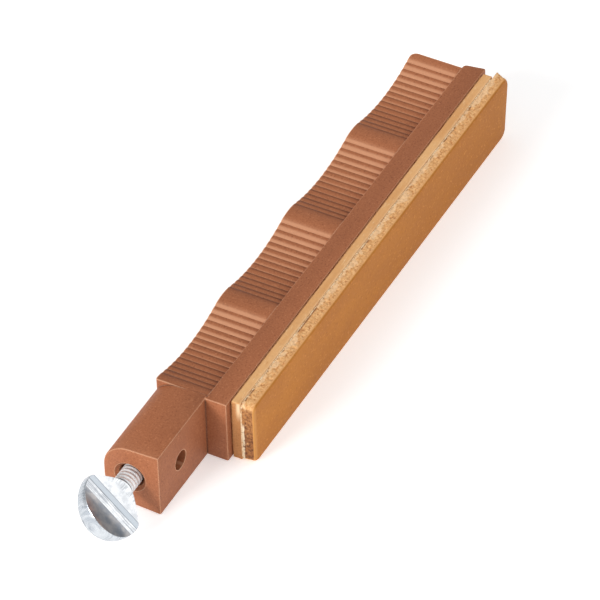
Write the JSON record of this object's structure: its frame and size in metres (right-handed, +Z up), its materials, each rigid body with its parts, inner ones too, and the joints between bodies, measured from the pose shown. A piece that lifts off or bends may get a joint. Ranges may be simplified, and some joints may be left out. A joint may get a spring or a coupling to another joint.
{
  "type": "leather strop",
  "caption": "Hand-held leather strop block with a ribbed finger grip, a glued leather face and a neck whose thumb screw clamps it on a guide rod.",
  "frame": {"origin": "bottom centre of the object's bounding box, with the strop standing on its long edge", "axes": "+X along the strop away from the thumb screw, +Y towards the finger grip, -Y out of the leather face, +Z up across the width"},
  "size_m": [0.1348, 0.0204, 0.0138],
  "materials": {
    "holder": "fine moulded texture, brown",
    "glue": "dried glue, off-white",
    "backing": "light tan with a smooth cut edge",
    "strop": "smooth orange-tan face with a coarse cut edge",
    "screw": "bright plating with fine forming marks"
  },
  "bodies": {
    "strop_block": {"holder": "holder", "glue_on_holder": "glue", "leather_backing": "backing", "glue_between_layers": "glue", "leather_strop": "strop"},
    "shank": {"screw_shank": "screw"},
    "head": {"screw_head": "screw"}
  },
  "joints": [
    {"name": "screw_travel", "type": "slide", "parent": "strop_block", "child": "shank", "axis": [1, 0, 0], "range_m": [-0.00476, 0.00357]},
    {"name": "screw_turn", "type": "hinge", "parent": "shank", "child": "head", "pos_m": [-0.0566, 0.0048, 0.0069], "axis": [1, 0, 0], "range_deg": [-2160, 1620]}
  ],
  "couplings": [
    {"joint": "screw_turn", "follows": "screw_travel", "rad_per_m": 7915.8}
  ]
}
